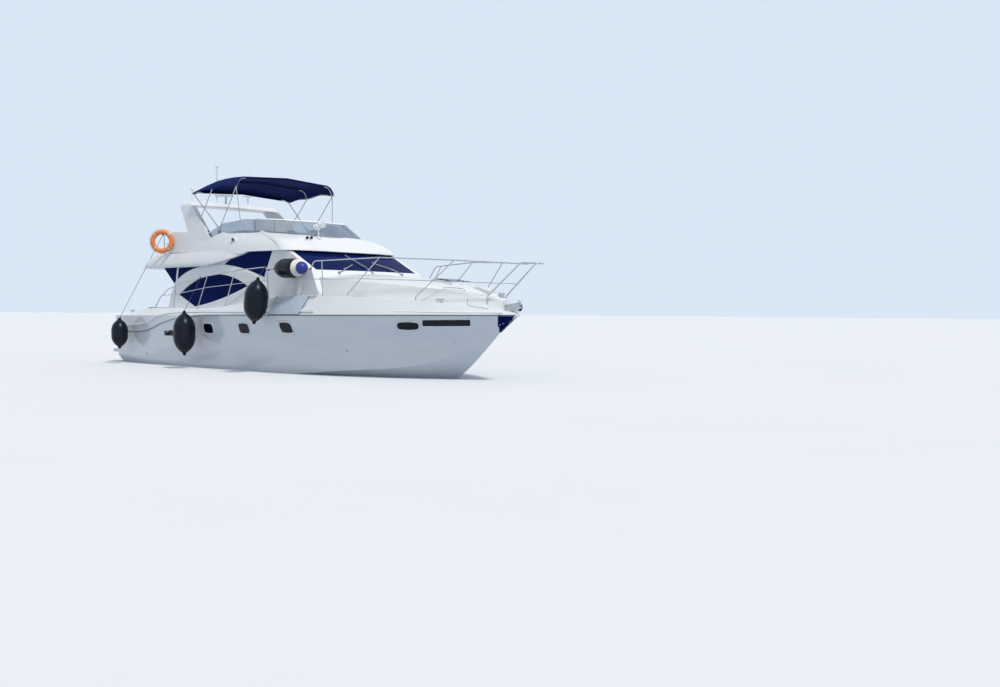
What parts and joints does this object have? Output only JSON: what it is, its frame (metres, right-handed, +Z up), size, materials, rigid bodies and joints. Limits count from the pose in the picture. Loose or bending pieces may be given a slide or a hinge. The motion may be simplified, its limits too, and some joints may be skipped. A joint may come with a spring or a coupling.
{
  "type": "flybridge motor yacht",
  "caption": "White flybridge motor yacht with tinted glass, a canvas top, steel rails, and a working door, lids, gate, rudders, trim tabs and propellers.",
  "frame": {"origin": "amidships on the centreline at the waterline", "axes": "+X to the bow, +Y to port, +Z up"},
  "size_m": [15.536, 4.9337, 6.8143],
  "materials": {
    "hull_gelcoat": "glossy white gelcoat",
    "deck_gelcoat": "white gelcoat with a satin non-slip deck",
    "house_gelcoat": "glossy white gelcoat",
    "black_rubber": "black extruded rubber",
    "navy_glass": "dark navy tinted glass",
    "smoked_glass": "smoked acrylic",
    "door_frame_metal": "white painted aluminium frame",
    "wheel_rim": "dark wheel rim",
    "seat_vinyl": "off-white marine vinyl",
    "white_plastic": "white plastic",
    "navy_canvas": "navy acrylic canvas",
    "polished_steel": "polished stainless steel",
    "orange_plastic": "orange lifebuoy with pale bands",
    "galvanised_steel": "galvanised steel",
    "teak": "laid teak",
    "bronze": "cast bronze",
    "engine_paint": "light grey engine paint",
    "black_vinyl": "black inflated vinyl with blue ends",
    "white_rope": "white braided rope",
    "black_plastic": "black lamp housing"
  },
  "bodies": {
    "yacht": {"hull": "hull_gelcoat", "deck": "deck_gelcoat", "rub_rail": "black_rubber", "quarter_mouldings": "hull_gelcoat", "deckhouse": "house_gelcoat", "windshield": "navy_glass", "side_glass": "navy_glass", "aft_wings": "navy_glass", "door_track": "door_frame_metal", "fixed_door_pane": "door_frame_metal", "flybridge": "house_gelcoat", "flybridge_windscreen": "smoked_glass", "helm_console": "house_gelcoat", "helm_seat": "seat_vinyl", "flybridge_settee": "seat_vinyl", "radar_arch": "house_gelcoat", "antennas": "white_plastic", "bimini_canopy": "navy_canvas", "bimini_frame": "polished_steel", "bow_rail": "polished_steel", "side_rails": "polished_steel", "flybridge_rail": "polished_steel", "lifebuoy": "orange_plastic", "anchor_roller": "polished_steel", "anchor": "galvanised_steel", "windlass": "polished_steel", "mooring_cleats": "polished_steel", "engine_hatch_hinge": "polished_steel", "transom_gate_hinge": "polished_steel", "bathing_platform": "teak", "cockpit_seat": "seat_vinyl", "flybridge_stairs": "teak", "shaft_brackets": "bronze", "trim_tab_hinges": "polished_steel", "engines": "engine_paint", "fenders": "black_vinyl", "fender_lines": "white_rope", "searchlight": "white_plastic", "navigation_lights": "black_plastic"},
    "saloon_door": {"saloon_door": "door_frame_metal"},
    "helm_wheel": {"helm_wheel": "wheel_rim"},
    "foredeck_hatch": {"foredeck_hatch": "smoked_glass"},
    "anchor_locker_lid": {"anchor_locker_lid": "deck_gelcoat"},
    "engine_hatch": {"engine_hatch": "teak"},
    "transom_gate": {"transom_gate": "house_gelcoat"},
    "propeller_port": {"propeller_port": "bronze"},
    "propeller_starboard": {"propeller_starboard": "bronze"},
    "rudder_port": {"rudder_port": "bronze"},
    "rudder_starboard": {"rudder_starboard": "bronze"},
    "trim_tab_port": {"trim_tab_port": "polished_steel"},
    "trim_tab_starboard": {"trim_tab_starboard": "polished_steel"}
  },
  "joints": [
    {"name": "saloon_door_slide", "type": "slide", "parent": "yacht", "child": "saloon_door", "axis": [0, 1, 0], "range_m": [0, 0.64]},
    {"name": "helm_turn", "type": "hinge", "parent": "yacht", "child": "helm_wheel", "pos_m": [-0.34526, -0.56, 3.455], "axis": [-0.866, 0, 0.5], "range_deg": [-540, 540]},
    {"name": "foredeck_hatch_hinge", "type": "hinge", "parent": "yacht", "child": "foredeck_hatch", "pos_m": [5.52202, 0, 2.23918], "axis": [0, 1, 0], "range_deg": [0, 85]},
    {"name": "anchor_locker_hinge", "type": "hinge", "parent": "yacht", "child": "anchor_locker_lid", "pos_m": [6.11466, 0, 2.11579], "axis": [0, -1, 0], "range_deg": [0, 85]},
    {"name": "engine_hatch_hinge", "type": "hinge", "parent": "yacht", "child": "engine_hatch", "pos_m": [-4.69, 0, 0.782], "axis": [0, 1, 0], "range_deg": [0, 85]},
    {"name": "transom_gate_hinge", "type": "hinge", "parent": "yacht", "child": "transom_gate", "pos_m": [-6.83, 1.374, 0.76], "axis": [0, 0, 1], "range_deg": [-88, 0]},
    {"name": "propeller_port_spin", "type": "hinge", "parent": "yacht", "child": "propeller_port", "pos_m": [-6.13, 0.72, -0.73635], "axis": [-0.9732, 0, -0.2301], "continuous": true},
    {"name": "rudder_port_turn", "type": "hinge", "parent": "yacht", "child": "rudder_port", "pos_m": [-6.62, 0.72, -0.3], "axis": [0, 0, 1], "range_deg": [-35, 35]},
    {"name": "trim_tab_port_hinge", "type": "hinge", "parent": "yacht", "child": "trim_tab_port", "pos_m": [-6.972, 0.93, -0.227], "axis": [0, 0.9748, -0.2233], "range_deg": [-20, 0]},
    {"name": "propeller_starboard_spin", "type": "hinge", "parent": "yacht", "child": "propeller_starboard", "pos_m": [-6.13, -0.72, -0.73635], "axis": [-0.9732, 0, -0.2301], "continuous": true},
    {"name": "rudder_starboard_turn", "type": "hinge", "parent": "yacht", "child": "rudder_starboard", "pos_m": [-6.62, -0.72, -0.3], "axis": [0, 0, 1], "range_deg": [-35, 35]},
    {"name": "trim_tab_starboard_hinge", "type": "hinge", "parent": "yacht", "child": "trim_tab_starboard", "pos_m": [-6.972, -0.93, -0.227], "axis": [0, 0.9748, 0.2233], "range_deg": [-20, 0]}
  ],
  "couplings": [
    {"joint": "rudder_port_turn", "follows": "helm_turn", "ratio": -0.064815},
    {"joint": "rudder_starboard_turn", "follows": "helm_turn", "ratio": -0.064815}
  ]
}
